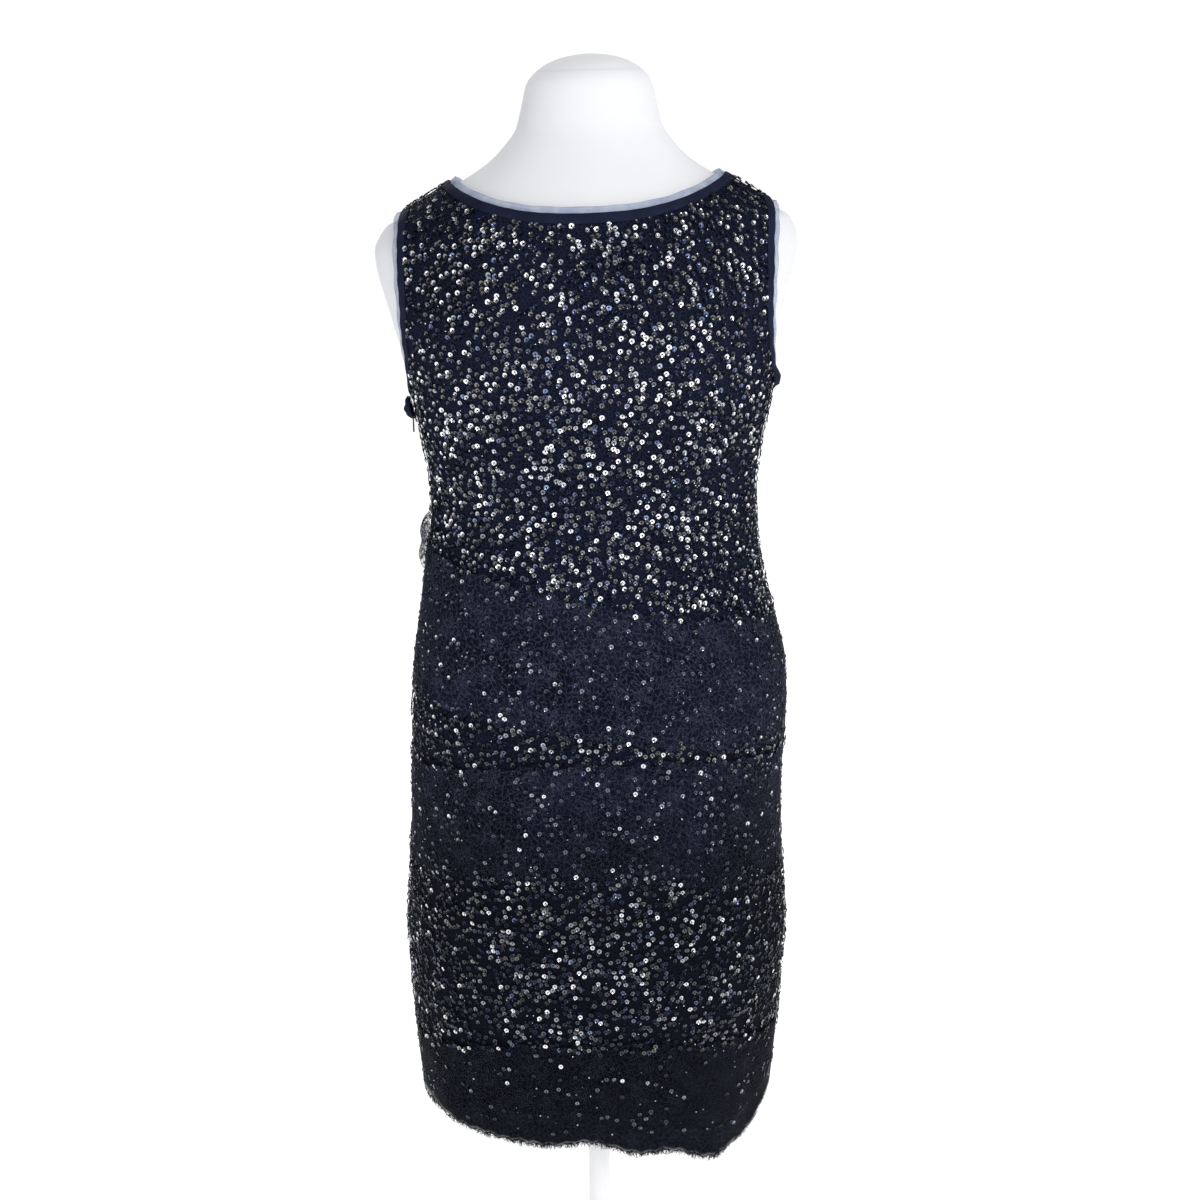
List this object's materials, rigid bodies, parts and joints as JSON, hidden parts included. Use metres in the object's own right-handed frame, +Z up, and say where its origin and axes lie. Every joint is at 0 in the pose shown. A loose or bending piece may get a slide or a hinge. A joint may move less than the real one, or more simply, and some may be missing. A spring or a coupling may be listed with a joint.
{
  "type": "cocktail dress on a dress form",
  "caption": "Sleeveless knee-length sheath dress of navy sequinned cloth with lace bands, a fringed hem and a side zip, worn by a white limbless dress form on a pole stand.",
  "frame": {"origin": "middle of the underside of the stand's base, on the floor", "axes": "+Z up, +X the wearer's left, -Y the way the wearer faces, so +Y is the back of the dress"},
  "size_m": [0.4158, 0.36, 1.5516],
  "materials": {
    "white_jersey": "smooth matt stretch jersey over a padded form",
    "white_lacquer": "satin white lacquer",
    "sequinned_navy": "navy net closely sewn with small cupped sequins and beads",
    "navy_lace": "matt open lace with an eyelash fringe",
    "navy_binding": "folded matt binding",
    "blue_grey_tulle": "sheer net",
    "navy_zip_tape": "woven zip tape with a nylon coil",
    "dark_zip_metal": "dark enamelled metal"
  },
  "bodies": {
    "dress_on_form": {"form_torso": "white_jersey", "form_neck_cap": "white_jersey", "stand_flange": "white_lacquer", "stand_pole": "white_lacquer", "stand_base": "white_lacquer", "back_panel": "sequinned_navy", "front_panel": "sequinned_navy", "neck_binding_back": "navy_binding", "neck_binding_front": "navy_binding", "neck_tulle_back": "blue_grey_tulle", "neck_tulle_front": "blue_grey_tulle", "armhole_left_binding_back": "navy_binding", "armhole_left_binding_front": "navy_binding", "armhole_right_binding_back": "navy_binding", "armhole_right_binding_front": "navy_binding", "armhole_left_tulle_back": "blue_grey_tulle", "armhole_left_tulle_front": "blue_grey_tulle", "armhole_right_tulle_back": "blue_grey_tulle", "armhole_right_tulle_front": "blue_grey_tulle", "lace_upper_back": "navy_lace", "lace_upper_front": "navy_lace", "lace_lower_back": "navy_lace", "lace_lower_front": "navy_lace", "lace_hem_back": "navy_lace", "lace_hem_front": "navy_lace", "hem_fringe_back": "navy_lace", "hem_fringe_front": "navy_lace", "lace_frill_left": "navy_lace", "side_zip": "navy_zip_tape", "zip_slider": "dark_zip_metal", "zip_lug_back": "dark_zip_metal", "zip_lug_front": "dark_zip_metal", "zip_pin": "dark_zip_metal", "zip_placket_fold": "navy_binding"},
    "zip_pull": {"zip_pull": "dark_zip_metal"}
  },
  "joints": [
    {"name": "zip_pull_swing", "type": "hinge", "parent": "dress_on_form", "child": "zip_pull", "pos_m": [0.18152, 0, 1.20981], "axis": [0, -1, 0], "range_deg": [0, 120]}
  ]
}
